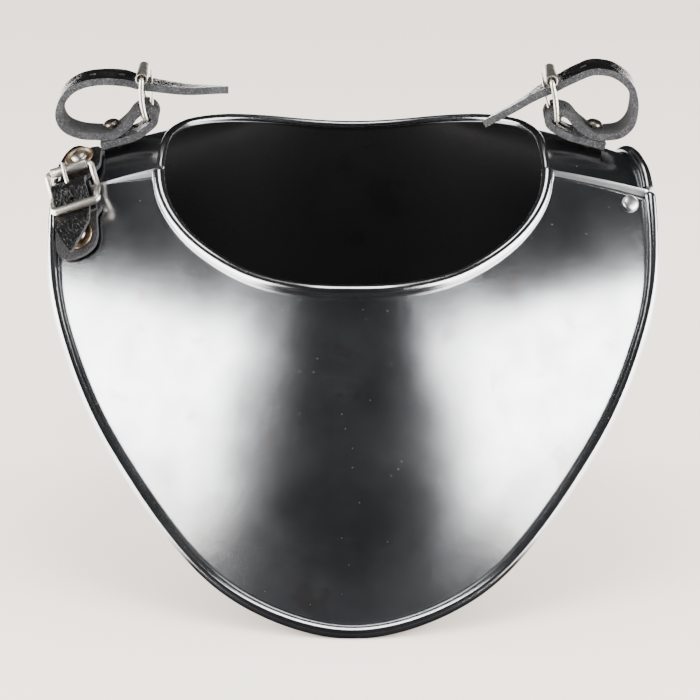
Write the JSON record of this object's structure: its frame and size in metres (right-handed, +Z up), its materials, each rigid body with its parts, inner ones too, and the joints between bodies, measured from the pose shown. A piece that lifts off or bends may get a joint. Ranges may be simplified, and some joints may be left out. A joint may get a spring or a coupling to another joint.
{
  "type": "steel gorget",
  "caption": "Mantle gorget of polished steel: front and back plates with rolled edges, pivoted and buckled at the shoulders, with buckled leather loops.",
  "frame": {"origin": "middle of the whole part's box on the surface it stands on", "axes": "+X to the wearer's left, +Y to the wearer's back, +Z up"},
  "size_m": [0.2892, 0.2408, 0.2324],
  "materials": {
    "steel": "satin polished outside, dark glossy inside",
    "fittings": "warm white nickel",
    "leather": "black grain side, grey fuzzy cut edges",
    "washer": "worn bronze"
  },
  "bodies": {
    "root": {"front_plate": "steel", "back_plate": "steel", "pivot_rivet": "fittings", "side_strap": "leather", "side_chape": "leather", "side_frame": "fittings", "side_roller": "fittings", "side_prong": "fittings", "side_rivet_upper": "fittings", "side_rivet_lower": "fittings", "side_washer_upper": "washer", "side_washer_lower": "washer", "shoulder_strap_right": "leather", "shoulder_frame_right": "fittings", "shoulder_roller_right": "fittings", "shoulder_prong_right": "fittings", "shoulder_rivet_right": "fittings", "shoulder_strap_left": "leather", "shoulder_frame_left": "fittings", "shoulder_roller_left": "fittings", "shoulder_prong_left": "fittings", "shoulder_rivet_left": "fittings"}
  },
  "joints": []
}
